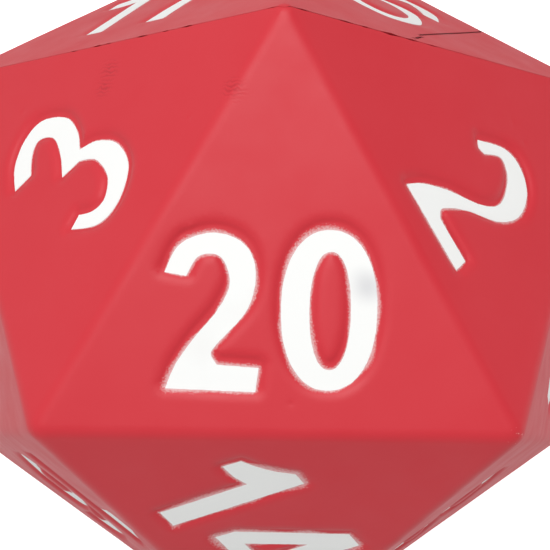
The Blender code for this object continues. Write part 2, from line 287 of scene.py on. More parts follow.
def body_points(placed, flat, sunk):
    """Where points of a face lie on the real, rounded and slightly uneven body.

    flat holds the points in the face's plane, and sunk how far each lies below the face."""
    sharp = in_frame(placed, flat)
    away = smooth_step(ring_distance(sharp), 0, PARTING_REACH)
    radius = PARTING_RADIUS + (EDGE_RADIUS - PARTING_RADIUS) * away
    tangent = radius * math.tan(HALF_TURN_OF_EDGE)
    base = nearest_in_triangle(flat, FACE_INRADIUS - tangent)
    reach = np.column_stack((flat - base, radius))
    reach *= (radius / np.linalg.norm(reach, axis=1))[:, None]
    rounded = base + reach[:, :2]
    points = in_frame(placed, rounded, reach[:, 2] - radius - sunk)
    uneven = SINK_DEPTH * noise_at(sharp, SINK_SIZE, 1) * away
    uneven += RIPPLE_DEPTH * noise_at(sharp, RIPPLE_SIZE, 2)
    outwards = sharp / np.linalg.norm(sharp, axis=1)[:, None]
    points -= outwards * np.maximum(uneven + SINK_MIDDLE * SINK_DEPTH, 0)[:, None]

    # The corners on the parting line are worn blunt
    far = np.linalg.norm(points, axis=1)
    worn = np.maximum(far - WORN_TO, 0) * WORN_SHARE
    points *= ((far - worn) / far)[:, None]

    # Both sides of the parting line stand back from it, more where the lip has chipped
    side = 1.0 if placed.to_3x3().col[2].dot(Vector(CAP_WAY)) > CAP_LEAN else -1.0
    gap = np.full(len(sharp), PARTING_GAP / 2)
    for place, size, deep in CHIPS:
        gap += deep * np.exp(-((np.linalg.norm(sharp - place, axis=1) / size) ** 2)) / 2
    near = 1 - smooth_step(ring_distance(sharp), 0, CHIP_REACH)
    points += CAP_WAY * (side * gap * near)[:, None]
    return points


# The numerals' recesses.
# Each digit stands in the mould as a low raised shape, so it comes out of the die as a shallow
# pocket with soft rounded shoulders. Outlines are in thousandths of the die's edge, about the middle
# of the digit's width and the middle of the face's height. SHARP marks a corner.

WALL_START, WALL_WIDTH = 0.5 * MM, 1.0 * MM  # the steeper part of a pocket's shoulder
WALL_DEPTH = 0.34 * MM
LIP_DEPTH, LIP_START, LIP_END = 0.36 * MM, 0.5 * MM, 2.6 * MM  # its soft wide lip
POCKET_SHARES = {14: 0.6, 20: 0.85, 17: 0.45, 9: 0.55}  # these are shallower than the rest

# How far each pocket lies from its paint, in millimetres across and up the face
SLIPS = {20: (0.0, 0.7), 3: (0.3, 0.1), 2: (-0.35, 0.3), 14: (-0.35, 0.3), 17: (0, 0.4), 9: (0, -0.4)}
USUAL_SLIP = (0.1, 0.2)

SHARP = True
CURVE_STEPS = 8
OVAL_POINTS = 48
OVAL_POWER = 2.2
ZERO_HALF_WIDTH, ZERO_HALF_HEIGHT = 98, 163
FOUR_STEM_LEFT, FOUR_STEM_RIGHT = 30, 88
BASELINE, CAP_LINE = -200, 124
MIDDLE = (BASELINE + CAP_LINE) / 2


def oval(x, y, half_width, half_height):
    """Corner-free outline of a slightly squared ellipse."""
    points = []
    for i in range(OVAL_POINTS):
        angle = 2 * math.pi * i / OVAL_POINTS
        c, s = math.cos(angle), math.sin(angle)
        px = math.copysign(abs(c) ** (2 / OVAL_POWER), c)
        py = math.copysign(abs(s) ** (2 / OVAL_POWER), s)
        points.append((x + half_width * px, y + half_height * py))
    return points


def half_turned(loops, middle):
    """The same loops turned by 180 degrees about a point on the digit's centre line."""
    return [[(-p[0], 2 * middle - p[1], *p[2:]) for p in loop] for loop in loops]


def both_sides(right_side):
    """Closes an outline that is the same on the left as on the right, given from top to bottom."""
    left_side = [(-x, y) for x, y in reversed(right_side) if x]
    return right_side + left_side


# Each glyph is its outer outline and then its holes.
NARROW_DIGITS = {
    "0": [
        oval(0, -32, ZERO_HALF_WIDTH, ZERO_HALF_HEIGHT),
        oval(2, -33, 42, 120),
    ],
    "1": [
        [
            (55, BASELINE, SHARP),
            (55, CAP_LINE, SHARP),
            (18, CAP_LINE, SHARP),
            (-12, 91),
            (-42, 67),
            (-78, 46, SHARP),
            (-80, 3, SHARP),
            (-38, 6),
            (-1, 18, SHARP),
            (-1, BASELINE, SHARP),
        ]
    ],
    "2": [
        [
            (-97, 41, SHARP),
            (-66, 98),
            (0, 122),
            (62, 101),
            (87, 46),
            (72, -31),
            (11, -103),
            (-1, -124),
            (11, -145, SHARP),
            (96, -151, SHARP),
            (90, BASELINE, SHARP),
            (-93, -195, SHARP),
            (-73, -146),
            (-36, -92),
            (11, -34),
            (35, 22),
            (15, 74),
            (-28, 74),
            (-53, 34, SHARP),
        ]
    ],
    "3": [
        [
            (-92, 58, SHARP),
            (-54, 112),
            (0, 125),
            (56, 112),
            (85, 52),
            (72, 4),
            (50, -25, SHARP),
            (86, -56),
            (95, -104),
            (58, -184),
            (0, -201),
            (-60, -184),
            (-98, -114, SHARP),
            (-46, -104, SHARP),
            (-34, -140),
            (0, -154),
            (41, -104),
            (28, -64),
            (-24, -52, SHARP),
            (-24, -10, SHARP),
            (20, 2),
            (32, 38),
            (0, 79),
            (-30, 66),
            (-40, 42, SHARP),
        ]
    ],
    "4": [
        [
            (FOUR_STEM_RIGHT, CAP_LINE, SHARP),
            (FOUR_STEM_RIGHT, -98, SHARP),
            (112, -98, SHARP),
            (112, -142, SHARP),
            (FOUR_STEM_RIGHT, -142, SHARP),
            (FOUR_STEM_RIGHT, BASELINE, SHARP),
            (FOUR_STEM_LEFT, BASELINE, SHARP),
            (FOUR_STEM_LEFT, -142, SHARP),
            (-97, -142, SHARP),
            (-95, -93, SHARP),
            (38, CAP_LINE, SHARP),
        ],
        [(FOUR_STEM_LEFT, 26, SHARP), (FOUR_STEM_LEFT, -98, SHARP), (-44, -98, SHARP)],
    ],
    "5": [
        [
            (82, CAP_LINE, SHARP),
            (82, 74, SHARP),
            (-28, 74, SHARP),
            (-36, 20, SHARP),
            (4, 32),
            (60, 14),
            (92, -40),
            (86, -126),
            (48, -188),
            (0, -201),
            (-60, -184),
            (-96, -116, SHARP),
            (-44, -110, SHARP),
            (-30, -142),
            (0, -155),
            (33, -126),
            (36, -60),
            (2, -20),
            (-42, -48, SHARP),
            (-90, -42, SHARP),
            (-68, CAP_LINE, SHARP),
        ]
    ],
    "6": [
        [
            (90, 50, SHARP),
            (58, 110),
            (0, 125),
            (-66, 92),
            (-98, -30),
            (-84, -140),
            (-42, -192),
            (0, -201),
            (56, -184),
            (97, -96),
            (60, -8),
            (8, 10),
            (-42, -26, SHARP),
            (-30, 46),
            (4, 80),
            (38, 42, SHARP),
        ],
        oval(0, -96, 40, 58),
    ],
    "7": [
        [
            (-92, CAP_LINE, SHARP),
            (92, CAP_LINE, SHARP),
            (92, 80, SHARP),
            (34, -14),
            (10, -110),
            (2, BASELINE, SHARP),
            (-58, BASELINE, SHARP),
            (-46, -110),
            (-16, -20),
            (34, 72, SHARP),
            (-92, 72, SHARP),
        ]
    ],
    "8": [
        both_sides(
            [
                (0, 125),
                (58, 108),
                (86, 48),
                (72, 4),
                (50, -24),
                (84, -54),
                (97, -104),
                (56, -186),
                (0, -201),
            ]
        ),
        oval(0, 42, 33, 37),
        oval(0, -104, 41, 52),
    ],
}
NARROW_DIGITS["9"] = half_turned(NARROW_DIGITS["6"], MIDDLE)
LEFT_DIGIT, RIGHT_DIGIT = -136, 101

# A number of one digit is taller and has thinner strokes.
SINGLE_WIDENING = 1.12
SINGLE_HEIGHTENING = 1.105
SINGLE_MIDDLE = 11
SINGLE_THINNING = 5  # taken off each side of a stroke
SINGLE_DIGITS = {
    "2": [
        [
            (-66, 44, SHARP),
            (-50, 34, SHARP),
            (-32, 42, SHARP),
            (-4, 88),
            (44, 72),
            (79, 10),
            (58, -50),
            (-8, -124),
            (-50, -186),
            (-66, -231, SHARP),
            (140, -222, SHARP),
            (136, -185, SHARP),
            (32, -190, SHARP),
            (17, -166),
            (52, -99),
            (108, -28),
            (127, 44),
            (97, 107),
            (40, 132),
            (-16, 115),
        ]
    ],
    "3": [
        [
            (-122, 134, SHARP),
            (-78, 176),
            (-16, 193),
            (42, 176),
            (77, 110),
            (64, 54),
            (34, 18, SHARP),
            (70, -16),
            (88, -76),
            (60, -140),
            (-14, -168),
            (-76, -150),
            (-118, -88, SHARP),
            (-83, -86, SHARP),
            (-60, -116),
            (-24, -128),
            (19, -101),
            (35, -44),
            (13, 0, SHARP),
            (-37, 21, SHARP),
            (2, 64),
            (24, 112),
            (2, 151),
            (-34, 146),
            (-73, 115, SHARP),
        ]
    ],
    "9": [
        [
            (-101, -83, SHARP),
            (-62, -154),
            (0, -168),
            (70, -136),
            (106, -20),
            (98, 106),
            (60, 170),
            (0, 189),
            (-64, 170),
            (-109, 76),
            (-66, -20),
            (-8, -36),
            (60, 4, SHARP),
            (36, -98),
            (-4, -124),
            (-54, -76, SHARP),
        ],
        oval(0, 77, 62, 67),
    ],
}
SINGLE_DIGITS["6"] = half_turned(SINGLE_DIGITS["9"], SINGLE_MIDDLE)
MARKED_NUMBERS = (6, 9)  # a dot after the digit shows which way up these two are
DOT_PLACE, DOT_RADIUS = (152, -143), 24


def is_sharp(point):
    """Whether an outline point is a corner."""
    return len(point) > 2


def through_points(points):
    """Closed outline: straight from corner to corner, a Catmull-Rom curve where it is round."""
    outline = []
    for i, point in enumerate(points):
        following = points[(i + 1) % len(points)]
        start, end = Vector(point[:2]), Vector(following[:2])
        outline.append(start)
        if is_sharp(point) and is_sharp(following):
            continue
        before = start if is_sharp(point) else Vector(points[i - 1][:2])
        after = end if is_sharp(following) else Vector(points[(i + 2) % len(points)][:2])
        for step in range(1, CURVE_STEPS):
            t = step / CURVE_STEPS
            bend = (2 * before - 5 * start + 4 * end - after) * t**2
            swing = (3 * start - before - 3 * end + after) * t**3
            outline.append((2 * start + (end - before) * t + bend + swing) / 2)
    return outline


def signed_area(outline):
    """Positive where the outline runs anticlockwise."""
    pairs = zip(outline, outline[1:] + outline[:1])
    return sum(a.x * b.y - b.x * a.y for a, b in pairs) / 2


def moved_inwards(loops, distance):
    """Shrinks an outer outline, and grows its holes, by the same distance along the normals."""
    moved = []
    for number, outline in enumerate(loops):
        is_hole = number > 0
        if (signed_area(outline) > 0) == is_hole:
            outline = outline[::-1]
        shifted = []
        for i, point in enumerate(outline):
            into = (point - outline[i - 1]).normalized()
            away = (outline[(i + 1) % len(outline)] - point).normalized()
            normal = Vector((-into.y - away.y, into.x + away.x)).normalized()
            mitre = max(normal.dot(Vector((-into.y, into.x))), 0.5)
            shifted.append(point + normal * distance / mitre)
        moved.append(shifted)
    return moved


def digit_loops(digit, single):
    """A digit's outer outline and holes, in thousandths of the edge."""
    if not single:
        return [through_points(loop) for loop in NARROW_DIGITS[digit]]
    if digit in SINGLE_DIGITS:
        return [through_points(loop) for loop in SINGLE_DIGITS[digit]]
    stretched = []
    for loop in NARROW_DIGITS[digit]:
        outline = through_points(loop)
        stretched.append(
            [
                Vector(
                    (
                        p.x * SINGLE_WIDENING,
                        (p.y - MIDDLE) * SINGLE_HEIGHTENING + SINGLE_MIDDLE,
                    )
                )
                for p in outline
            ]
        )
    return moved_inwards(stretched, SINGLE_THINNING)


# How far these marks lie from the usual place, across and up, in thousandths of the edge
STENCIL_OFFSETS = {3: (2, 9), 14: (7, -10), 2: (-1, 13), 17: (0, 38), 9: (2, -24)}
THIN_NUMBERS, THIN_BY = (17, 9), 5  # their strokes are thinner by this on each side


def number_marks(number):
    """The separate painted marks of a face: (node name, loops in metres on the face)."""
    text = str(number)
    label = f"numeral_{number:02d}"
    single = len(text) == 1
    if single:
        marks = [(label, digit_loops(text, single), 0)]
    else:
        marks = [
            (f"{label}_left", digit_loops(text[0], single), LEFT_DIGIT),
            (f"{label}_right", digit_loops(text[1], single), RIGHT_DIGIT),
        ]
    if number in MARKED_NUMBERS:
        x, y = DOT_PLACE
        dot = [Vector(point) for point in oval(0, y, DOT_RADIUS, DOT_RADIUS)]
        marks.append((f"{label}_dot", [dot], x))
    unit = EDGE / 1000
    offset = Vector(STENCIL_OFFSETS.get(number, (0, 0)))
    if number in THIN_NUMBERS:
        marks = [(name, moved_inwards(loops, THIN_BY), x) for name, loops, x in marks]
    return [
        (name, [[(p + offset + Vector((x, 0))) * unit for p in loop] for loop in loops])
        for name, loops, x in marks
    ]


MARKS = {number: number_marks(number) for number in FACES}


def evenly(outline, step):
    """The same closed outline with its points about one step apart."""
    spread = []
    for a, b in zip(outline, outline[1:] + outline[:1]):
        count = max(1, round((b - a).length / step))
        spread += [a.lerp(b, i / count) for i in range(count)]
    return spread


def outline_distance(flat, loops):
    """Distance of each point from the loops: negative inside them."""
    best = np.full(len(flat), np.inf)
    inside = np.zeros(len(flat), bool)
    for loop in loops:
        points = np.array(loop)
        for a, b in zip(points, np.roll(points, -1, axis=0)):
            along = b - a
            t = np.clip((flat - a) @ along / max(along @ along, 1e-18), 0, 1)
            best = np.minimum(best, np.linalg.norm(flat - a - t[:, None] * along, axis=1))
            crosses = (a[1] > flat[:, 1]) != (b[1] > flat[:, 1])
            if crosses.any():
                at = a[0] + (flat[:, 1] - a[1]) / (b[1] - a[1] or 1e-18) * along[0]
                inside ^= crosses & (flat[:, 0] < at)
    return np.where(inside, -best, best)


def mark_distance(number, flat):
    """Distance of each point from the nearest painted mark of its face."""
    loops = [loop for _, loops in MARKS[number] for loop in loops]
    return outline_distance(flat, loops)


def slip(number):
    """How far a face's pockets lie from its paint."""
    return Vector(SLIPS.get(number, USUAL_SLIP)) * MM


def mark_box(number, margin):
    """The lowest and highest corner of a face's marks, widened by a margin."""
    points = np.array([point for _, loops in MARKS[number] for loop in loops for point in loop])
    return points.min(axis=0) - margin, points.max(axis=0) + margin


def sunk_by(number, flat):
    """How far the numeral's pocket sinks each point below its face."""
    distance = mark_distance(number, flat - np.array(slip(number)))
    wall = WALL_DEPTH * (1 - smooth_step(distance, WALL_START, WALL_START + WALL_WIDTH))
    lip = LIP_DEPTH * (1 - smooth_step(distance, LIP_START, LIP_END))
    return (wall + lip) * POCKET_SHARES.get(number, 1) + dented(number, flat)


# The skin.
# Against the cold mould the foam packs into a dense skin of the same polyurethane, about 3 mm thick.
# It is made here as the two parts that the mould halves formed. Each has an outside, an inside
# and a rim.

SHARP_INSET = MM / 2  # rows nearer than this to a parting edge have its closer steps
RING_OVERLAP = 0.03 * MM
LEAST_TRIANGLE = 1e-10  # twice an area in square metres, under which a triangle is left out
WELD_WITHIN = 2e-6
RIM_REACH, RIM_OVERRUN = 1.2 * MM, 1 * MM  # how near a parting edge, and past its ends, a rim lies
FAR_FROM_PAINT = 99


def triangle_lattice(step):
    """Points of a triangular lattice that cover a face."""
    reach = EDGE * 0.6
    rows = int(reach / (step * math.sqrt(3) / 2))
    columns = int(reach / step)
    points = []
    for row in range(-rows, rows + 1):
        shift = step / 2 if row % 2 else 0
        for column in range(-columns, columns + 1):
            points.append((column * step + shift, row * step * math.sqrt(3) / 2))
    return np.array(points)


def side_distance(flat):
    """Distance of each point from the nearest side of its face."""
    return FACE_INRADIUS - np.max([flat @ normal for normal in SIDE_NORMALS], axis=0)


def side_rows(letters):
    """Points in rows beside a face's sides, closer together where the side is a parting edge."""
    tangent = EDGE_RADIUS * math.tan(HALF_TURN_OF_EDGE)
    corners = [way * EDGE / math.sqrt(3) for way in CORNER_WAYS]
    # A face's corners run left or right round it, so each is matched to the frame's own axes
    placed = face_frame(letters).inverted()
    named = {}
    for letter in letters:
        local = np.array((placed @ corner_point(letter)).to_2d())
        named[letter] = min(corners, key=lambda c: np.linalg.norm(c - local))
    rows = []
    for a, b in ((0, 1), (1, 2), (2, 0)):
        pair = letters[a] + letters[b]
        parting = set(pair) <= set(PARTING_RING)
        insets = [tangent * i / 4 for i in range(6)]
        steps = EDGE_STEPS
        if parting:
            insets += PARTING_INSETS
            steps = PARTING_STEPS
        start, end = sorted((named[letters[a]], named[letters[b]]), key=tuple)
        inwards = -(start + end) / np.linalg.norm(start + end)
        for inset in insets:
            trim = inset / math.tan(math.radians(30))
            along = (end - start) / EDGE
            first, last = start + along * trim, end - along * trim
            count = steps if inset < SHARP_INSET else EDGE_STEPS
            for i in range(count + 1):
                rows.append(first + (last - first) * i / count + inwards * inset)
    return np.array(rows)


LATTICES = [triangle_lattice(step) for step in (PLAIN_STEP, MIDDLE_STEP, FINE_STEP)]


def wall_rings(number):
    """Points in rows along the walls of a face's pockets."""
    rings = []
    for _, loops in MARKS[number]:
        for loop in loops:
            points = evenly(loop, RING_STEP)
            if (signed_area(loop) > 0) == (loop is not loops[0]):
                points.reverse()
            for part in (0, 1 / 3, 2 / 3, 1):
                offset = WALL_START + WALL_WIDTH * part
                for i, point in enumerate(points):
                    along = points[(i + 1) % len(points)] - points[i - 1]
                    normal = Vector((along.y, -along.x)).normalized()
                    rings.append((*(point + normal * offset), offset))
    rings = np.array(rings)
    distance = mark_distance(number, rings[:, :2])
    kept = rings[distance > rings[:, 2] - RING_OVERLAP]
    return kept[:, :2] + np.array(slip(number))


def skin_points(number):
    """Where the skin of one face gets its vertices, in the face's plane."""
    letters = FACES[number]
    rows = side_rows(letters)
    clear_of_sides = 1.5 * EDGE_RADIUS * math.tan(HALF_TURN_OF_EDGE)
    plain, middle, fine = (lattice[side_distance(lattice) > clear_of_sides] for lattice in LATTICES)
    low, high = mark_box(number, FINE_REACH + LATTICE_MARGIN)
    middle, fine = (
        lattice[np.all((lattice > low) & (lattice < high), axis=1)] for lattice in (middle, fine)
    )
    plain_distance, middle_distance, fine_distance = (
        mark_distance(number, lattice) for lattice in (plain, middle, fine)
    )
    fine_pocket = mark_distance(number, fine - np.array(slip(number)))
    off_wall = fine_pocket > WALL_START + WALL_WIDTH + WALL_CLEARANCE
    off_wall |= fine_pocket < WALL_START - WALL_CLEARANCE
    middle_end = FINE_REACH + MIDDLE_BAND
    points = np.vstack(
        (
            rows,
            plain[(plain_distance > middle_end) | (plain_distance < -PLAIN_INWARDS)],
            middle[(middle_distance > FINE_REACH) & (middle_distance <= middle_end)],
            fine[(fine_distance >= -FINE_INWARDS) & (fine_distance <= FINE_REACH) & off_wall],
            wall_rings(number),
            dent_points(number),
        )
    )
    _, kept = np.unique(np.round(points / SAME_POINT), axis=0, return_index=True)
    apart = kept[kept >= len(rows)]
    return np.vstack((rows, points[np.sort(apart)]))


SPRAY_SPREAD = {14: 1.6, 2: 0.7, 3: 0.35, 17: 0.5, 9: 0.5}  # how far specks go, against the rest


def add_skin_face(bm, spray, number):
    """Adds the outer surface of one face, and notes how near the paint each vertex is."""
    placed = face_frame(FACES[number])
    flat = skin_points(number)
    plane = [Vector(p) / MM for p in flat]
    found, _, triangles, *_ = delaunay_2d_cdt(plane, [], [], 0, 1e-5, False)
    flat = np.array(found) * MM
    points = body_points(placed, flat, sunk_by(number, flat))
    near_paint = mark_distance(number, flat) / MM
    verts = []
    for point, distance in zip(points, near_paint):
        vert = bm.verts.new(point)
        vert[spray] = distance / SPRAY_SPREAD.get(number, 1)
        verts.append(vert)
    for corners in triangles:
        a, b, c = (Vector(flat[i]) for i in corners)
        if abs((b - a).cross(c - a)) > LEAST_TRIANGLE:
            bm.faces.new([verts[i] for i in corners]).smooth = True


def skin_shell(numbers):
    """One mould half's skin: the numbered outside, a plain inside and the parting rim."""
    bm = bmesh.new()
    spray = bm.verts.layers.float.new("paint_distance")
    for number in numbers:
        add_skin_face(bm, spray, number)
    bmesh.ops.remove_doubles(bm, verts=bm.verts, dist=WELD_WITHIN)
    rim = [edge for edge in bm.edges if edge.is_boundary]
    for edge in rim:
        edge.smooth = False

    # The inside is the same shape, smaller, with the parting ring's points spread to meet the rim
    side = 1 if CAP_CORNER in FACES[numbers[0]] else -1
    shrink = 1 - SKIN_INSIDE / (ACROSS_FACES / 2)
    shift = Vector(CAP_WAY) * side * PARTING_GAP
    inner = {}
    for letter in CORNERS:
        if any(letter in FACES[number] for number in numbers):
            place = corner_point(letter) * shrink
            if letter in PARTING_RING:
                place += Vector(CAP_WAY) * (PARTING_HEIGHT * (1 - shrink)) + shift
            inner[letter] = bm.verts.new(place)
            inner[letter][spray] = FAR_FROM_PAINT
    outer_of = {}
    ring_verts = {vert for edge in rim for vert in edge.verts}
    for a, b in zip(PARTING_RING, PARTING_RING[1:] + PARTING_RING[:1]):
        start, end = corner_point(a), corner_point(b)
        along = (end - start).normalized()
        on_side = []
        for vert in ring_verts:
            t = (vert.co - start).dot(along)
            off = (vert.co - start - along * t).length
            if off < RIM_REACH and -RIM_OVERRUN < t < EDGE + RIM_OVERRUN:
                on_side.append((t, vert))
        on_side.sort(key=lambda pair: pair[0])
        outer_of[a, b] = [vert for _, vert in on_side]
    inner_side = {}
    for (a, b), verts in outer_of.items():
        start, end = inner[a], inner[b]
        spread = [start]
        for i in range(1, len(verts) - 1):
            vert = bm.verts.new(start.co.lerp(end.co, i / (len(verts) - 1)))
            vert[spray] = FAR_FROM_PAINT
            spread.append(vert)
        spread.append(end)
        inner_side[a, b] = spread
        inner_side[b, a] = spread[::-1]
        for i in range(len(verts) - 1):
            bm.faces.new((verts[i], verts[i + 1], spread[i + 1], spread[i]))
    for number in numbers:
        a, b, c = FACES[number]
        loop = []
        for start, end in ((a, b), (b, c), (c, a)):
            loop += inner_side.get((start, end), [inner[start], inner[end]])[:-1]
        bm.faces.new(loop)
    bmesh.ops.recalc_face_normals(bm, faces=bm.faces)
    return bm


def add_piece(name, bm):
    """Makes a piece from a bmesh that is drawn about the die's centre."""
    bmesh.ops.translate(bm, verts=bm.verts, vec=CENTRE)
    mesh = bpy.data.meshes.new(name)
    bm.to_mesh(mesh)
    bm.free()
    piece = bpy.data.objects.new(name, mesh)
    bpy.context.scene.collection.objects.link(piece)
    return piece


def linear(hex_colour):
    """An sRGB hex colour as linear red, green, blue and alpha."""
    parts = [int(hex_colour[i : i + 2], 16) / 255 for i in (1, 3, 5)]
    return [c / 12.92 if c <= 0.04045 else ((c + 0.055) / 1.055) ** 2.4 for c in parts] + [1]


def node(tree, kind, settings=None, **links):
    """Adds a node. Keyword values are linked if they are sockets, and set if they are not.

    A keyword is an input's name, or i and the input's number."""
    made = tree.nodes.new(kind)
    for key, value in (settings or {}).items():
        setattr(made, key, value)
    for key, value in links.items():
        name = key.replace("_", " ").title() if not key.startswith("i") else int(key[1:])
        socket = made.inputs[name]
        if isinstance(value, bpy.types.NodeSocket):
            tree.links.new(value, socket)
        else:
            socket.default_value = value
    return made


def mixed(tree, share, under, over):
    """A colour, covered by another as far as share says."""
    made = node(tree, "ShaderNodeMix", {"data_type": "RGBA"}, i0=share, i6=under, i7=over)
    return made.outputs[2]


SKIN_RED = "#D32C38"
SKIN_PALE = "#D63741"
SPRAY_WHITE = "#F4F3F1"
FLECK_PINK = "#F3B9B4"
# Painted shade: the darker red that fills the hollows of the creases
CREASE_SHADE_RED = "#A61F2A"
CREASE_PITCH = 0.75 * MM


def between(letters, shares):
    """A point of the die's surface as shares of a face's three corners."""
    return CENTRE + sum((corner_point(c) * share for c, share in zip(letters, shares)), Vector())


# The middle and radius of each creased patch
CREASED_PATCHES = (
    (between("ABD", (0.80, 0.19, 0.01)), 3.2 * MM),
    (between("DAB", (0.41, 0.51, 0.08)), 3.4 * MM),
    (between("DAB", (0.395, 0.48, 0.125)), 3.0 * MM),
)
KNOCKED_CORNER = between("C", (0.985,))


def moulded_polyurethane_skin():
    """Satin integral skin of moulded polyurethane foam.

    To the eye: a deep even red, a soft wide sheen, a fine pebble from the mould and faint blotches."""
    made = bpy.data.materials.new("moulded polyurethane skin")
    made.use_nodes = True
    tree = made.node_tree
    shader = tree.nodes["Principled BSDF"]
    place = node(tree, "ShaderNodeTexCoord").outputs["Object"]
    per_metre = 1 / MM

    blotch = node(tree, "ShaderNodeTexNoise", vector=place, scale=per_metre / 14, detail=3.0)
    red = mixed(tree, blotch.outputs["Fac"], linear(SKIN_RED), linear(SKIN_PALE))

    # Overspray: specks of paint that thin out over a millimetre from the stencil's edge
    distance = node(tree, "ShaderNodeAttribute", {"attribute_name": "paint_distance"}).outputs["Fac"]
    drift = node(tree, "ShaderNodeTexNoise", vector=place, scale=per_metre / 9, detail=1.0)
    reach = node(
        tree, "ShaderNodeMapRange", i0=drift.outputs["Fac"], i1=0.35, i2=0.7, i3=0.3, i4=1.7
    )
    fade = node(
        tree,
        "ShaderNodeMath",
        {"operation": "DIVIDE", "use_clamp": True},
        i0=distance,
        i1=reach.outputs[0],
    )
    speck = node(tree, "ShaderNodeTexNoise", vector=place, scale=per_metre / 0.3, detail=2.0)
    covered = node(
        tree,
        "ShaderNodeMath",
        {"operation": "SUBTRACT"},
        i0=speck.outputs["Fac"],
        i1=fade.outputs[0],
    )
    spray = node(
        tree, "ShaderNodeMapRange", i0=covered.outputs[0], i1=-0.1, i2=0.5, i3=0.0, i4=0.55
    )
    colour = mixed(tree, spray.outputs[0], red, linear(SPRAY_WHITE))

    # Fine creases where the foam was folded, and pale specks where a corner was knocked
    creases = node(
        tree,
        "ShaderNodeTexWave",
        {"bands_direction": "Y"},
        vector=place,
        scale=2 * math.pi / 20 / CREASE_PITCH,
        distortion=7.0,
        detail=2.0,
        detail_scale=1.8,
    ).outputs["Fac"]
    creased = None
    for centre, size in CREASED_PATCHES:
        off = node(tree, "ShaderNodeVectorMath", {"operation": "DISTANCE"}, i0=place, i1=centre)
        near = node(
            tree, "ShaderNodeMapRange", i0=off.outputs["Value"], i1=0.0, i2=size, i3=1.0, i4=0.0
        ).outputs[0]
        if creased:
            near = node(
                tree, "ShaderNodeMath", {"operation": "MAXIMUM"}, i0=creased, i1=near
            ).outputs[0]
        creased = near
    crease_depth = node(
        tree, "ShaderNodeMath", {"operation": "MULTIPLY"}, i0=creases, i1=creased
    ).outputs[0]
    knocked = node(
        tree, "ShaderNodeVectorMath", {"operation": "DISTANCE"}, i0=place, i1=KNOCKED_CORNER
    )
    near_corner = node(
        tree, "ShaderNodeMapRange", i0=knocked.outputs["Value"], i1=0.0, i2=5 * MM, i3=0.16, i4=-0.2
    )
    flecks = node(tree, "ShaderNodeTexNoise", vector=place, scale=per_metre / 0.5, detail=0.0)
    raised = node(
        tree,
        "ShaderNodeMath",
        {"operation": "ADD"},
        i0=flecks.outputs["Fac"],
        i1=near_corner.outputs[0],
    )
    fleck = node(
        tree, "ShaderNodeMapRange", i0=raised.outputs[0], i1=0.8, i2=0.86, i3=0.0, i4=0.7
    )
    colour = mixed(tree, fleck.outputs[0], colour, linear(FLECK_PINK))
    # Painted shade darkens the skin along the creases, by their depth
    painted_crease_shade = node(
        tree, "ShaderNodeMapRange", i0=crease_depth, i1=0.2, i2=0.8, i3=0.0, i4=0.4
    )
    colour = mixed(tree, painted_crease_shade.outputs[0], colour, linear(CREASE_SHADE_RED))
    tree.links.new(colour, shader.inputs["Base Color"])

    patch = node(tree, "ShaderNodeTexNoise", vector=place, scale=per_metre / 9, detail=4.0)
    rough = node(
        tree, "ShaderNodeMapRange", i0=patch.outputs["Fac"], i1=0.3, i2=0.7, i3=0.42, i4=0.54
    )
    tree.links.new(rough.outputs[0], shader.inputs["Roughness"])
    shader.inputs["IOR"].default_value = 1.42
    shader.inputs["Sheen Weight"].default_value = 0.02
    shader.inputs["Sheen Roughness"].default_value = 0.5

    pebble = node(tree, "ShaderNodeTexNoise", vector=place, scale=per_metre / 0.5, detail=3.0)
    grain = node(
        tree,
        "ShaderNodeBump",
        distance=0.03 * MM,
        strength=0.35,
        height=pebble.outputs["Fac"],
    )
    folds = node(
        tree,
        "ShaderNodeBump",
        {"invert": True},
        distance=0.08 * MM,
        strength=0.6,
        height=crease_depth,
        normal=grain.outputs[0],
    )
    tree.links.new(folds.outputs[0], shader.inputs["Normal"])
    return made


skin_look = moulded_polyurethane_skin()
cap_numbers = [number for number, letters in FACES.items() if CAP_CORNER in letters]
base_numbers = [number for number in FACES if number not in cap_numbers]
for cad_node, numbers in (("skin_cap", cap_numbers), ("skin_base", base_numbers)):
    skin = add_piece(f"moulded_{cad_node}", skin_shell(numbers))
    skin.data.materials.append(skin_look)
    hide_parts(cad_node)
    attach(skin, "root")


# The painted numerals.
# Each is a thin film of white paint, sprayed through a stencil onto the floor of its pocket, with
# a slightly ragged edge where the spray crept under the stencil.

PAINT_CLEARANCE = 0.03 * MM
PAINT_THICKNESS = 0.05 * MM
RAGGED_STEP = 0.3 * MM
RAGGED_BY = 0.06 * MM
RAGGED_SIZE = 1.1 * MM
PAINT_MARGIN = 0.5 * MM  # between a film's edge and the lattice inside it
PAINT_LATTICE = triangle_lattice(1.2 * MM)


def ragged(outline, seed):
    """The outline with its points a little in or out, as sprayed paint's edge is."""
    points = evenly(outline, RAGGED_STEP)
    moved = []
    for i, point in enumerate(points):
        along = points[(i + 1) % len(points)] - points[i - 1]
        normal = Vector((along.y, -along.x)).normalized()
        place = Vector((point.x / RAGGED_SIZE, point.y / RAGGED_SIZE, seed))
        push = noise.noise(place) + 0.6 * noise.noise(place * 2.7)
        moved.append(point + normal * RAGGED_BY * push)
    return moved


